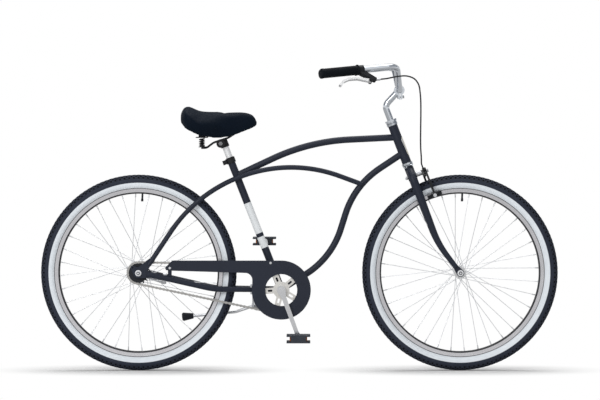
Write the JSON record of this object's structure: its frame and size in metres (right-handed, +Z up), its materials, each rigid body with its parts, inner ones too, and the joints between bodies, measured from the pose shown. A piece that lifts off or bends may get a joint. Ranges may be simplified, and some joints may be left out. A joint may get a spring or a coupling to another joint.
{
  "type": "beach cruiser bicycle",
  "caption": "Beach cruiser bicycle with a curved cantilever frame, balloon whitewall tyres, coaster hub, front hand brake, chain guard and sprung saddle.",
  "frame": {"origin": "on the ground midway between the axles, on the centre plane", "axes": "+X forward, +Y to the rider's left, +Z up"},
  "size_m": [1.7537, 0.6566, 1.0391],
  "materials": {
    "frame_paint": "matte dark slate paint",
    "tyre_rubber": "matte, with a pale side band",
    "chrome_steel": "polished",
    "spoke_steel": "bright drawn wire",
    "zinc_steel": "plain plated",
    "dark_steel": "black enamel",
    "alloy": "satin polished",
    "dark_rubber": "matte",
    "dark_plastic": "matte",
    "saddle_cover": "grained",
    "chain_steel": "oiled",
    "badge_plate": "plain pale enamel",
    "cable_cover": "smooth"
  },
  "bodies": {
    "frame": {"head_tube": "frame_paint", "top_tube": "frame_paint", "down_tube": "frame_paint", "seat_tube": "frame_paint", "bottom_bracket_shell": "frame_paint", "cantilever_bars": "frame_paint", "chain_stays": "frame_paint", "rear_dropouts": "frame_paint", "head_badge": "badge_plate", "seat_clamp": "dark_steel", "chain_guard": "frame_paint", "chain_guard_brackets": "zinc_steel", "headset_cups": "chrome_steel", "bottom_bracket_cups": "zinc_steel", "frame_bearings": "zinc_steel", "kickstand_bracket": "zinc_steel", "rear_axle_set": "zinc_steel", "coaster_brake_arm": "zinc_steel", "chain": "chain_steel"},
    "seat_post": {"seat_post": "alloy", "saddle_clamp": "dark_steel"},
    "saddle": {"saddle_rails": "dark_steel", "saddle_springs": "dark_steel", "saddle_pan": "dark_plastic", "saddle_cushion": "saddle_cover"},
    "steering": {"fork_steerer": "frame_paint", "fork_blades": "frame_paint", "headset_nuts": "chrome_steel", "front_axle_set": "zinc_steel", "caliper_bolt": "zinc_steel", "brake_cable": "cable_cover", "quill_stem": "chrome_steel", "stem_bolts": "zinc_steel", "handlebar": "chrome_steel", "handlebar_grips": "dark_rubber", "brake_perch": "dark_steel"},
    "brake_lever": {"brake_lever": "alloy"},
    "caliper_left": {"caliper_arm_left": "dark_steel", "brake_pad_left": "dark_rubber"},
    "caliper_right": {"caliper_arm_right": "dark_steel", "brake_pad_right": "dark_rubber"},
    "front_wheel": {"front_tyre": "tyre_rubber", "front_rim": "chrome_steel", "front_spokes": "spoke_steel", "front_hub": "alloy", "front_inner_tube": "dark_rubber"},
    "rear_wheel": {"rear_tyre": "tyre_rubber", "rear_rim": "chrome_steel", "rear_spokes": "spoke_steel", "rear_hub": "alloy", "rear_inner_tube": "dark_rubber"},
    "rear_sprocket": {"rear_sprocket": "zinc_steel"},
    "crank": {"crank_spindle": "zinc_steel", "pedal_spindles": "zinc_steel", "crank_arms": "chrome_steel", "chainring": "alloy"},
    "pedal_left": {"pedal_left": "dark_plastic"},
    "pedal_right": {"pedal_right": "dark_plastic"},
    "kickstand": {"kickstand_leg": "zinc_steel", "kickstand_foot": "dark_rubber"}
  },
  "joints": [
    {"name": "steering", "type": "hinge", "parent": "frame", "child": "steering", "pos_m": [0.34031, 0, 0.76758], "axis": [-0.3584, 0, 0.9336], "range_deg": [-75, 75]},
    {"name": "front_wheel_spin", "type": "hinge", "parent": "steering", "child": "front_wheel", "pos_m": [0.545, 0, 0.332], "axis": [0, 1, 0], "continuous": true},
    {"name": "rear_wheel_spin", "type": "hinge", "parent": "frame", "child": "rear_wheel", "pos_m": [-0.545, 0, 0.332], "axis": [0, 1, 0], "continuous": true},
    {"name": "crank_spin", "type": "hinge", "parent": "frame", "child": "crank", "pos_m": [-0.06149, 0, 0.2745], "axis": [0, 1, 0], "continuous": true, "deforming": ["chain"]},
    {"name": "rear_sprocket_spin", "type": "hinge", "parent": "frame", "child": "rear_sprocket", "pos_m": [-0.545, 0, 0.332], "axis": [0, 1, 0], "continuous": true},
    {"name": "pedal_left_spin", "type": "hinge", "parent": "crank", "child": "pedal_left", "pos_m": [-0.11963, 0, 0.43425], "axis": [0, 1, 0], "continuous": true},
    {"name": "pedal_right_spin", "type": "hinge", "parent": "crank", "child": "pedal_right", "pos_m": [-0.00334, 0, 0.11475], "axis": [0, 1, 0], "continuous": true},
    {"name": "brake_lever_pull", "type": "hinge", "parent": "steering", "child": "brake_lever", "pos_m": [0.2365, -0.26827, 0.98105], "axis": [-0.3019, 0.813, -0.498], "range_deg": [0, 9], "stiffness_Nm_per_rad": 2, "springref_deg": -2.86},
    {"name": "caliper_right_close", "type": "hinge", "parent": "steering", "child": "caliper_right", "pos_m": [0.41958, 0, 0.67268], "axis": [0.9336, 0, 0.3584], "range_deg": [0, 1.3]},
    {"name": "caliper_left_close", "type": "hinge", "parent": "steering", "child": "caliper_left", "pos_m": [0.41958, 0, 0.67268], "axis": [0.9336, 0, 0.3584], "range_deg": [-1.3, 0]},
    {"name": "kickstand_swing", "type": "hinge", "parent": "frame", "child": "kickstand", "pos_m": [-0.14949, 0.04, 0.2175], "axis": [0.2709, -0.952, -0.1427], "range_deg": [0, 101.5]},
    {"name": "seat_height", "type": "slide", "parent": "frame", "child": "seat_post", "axis": [-0.3649, 0, 0.9311], "range_m": [-0.035, 0.08]},
    {"name": "saddle_tilt", "type": "hinge", "parent": "seat_post", "child": "saddle", "pos_m": [-0.2666, 0, 0.76982], "axis": [0, 1, 0], "range_deg": [-10, 10]}
  ],
  "couplings": [
    {"joint": "rear_sprocket_spin", "follows": "crank_spin", "ratio": 2.2222},
    {"joint": "caliper_right_close", "follows": "brake_lever_pull", "ratio": 0.14444},
    {"joint": "caliper_left_close", "follows": "brake_lever_pull", "ratio": -0.14444}
  ]
}
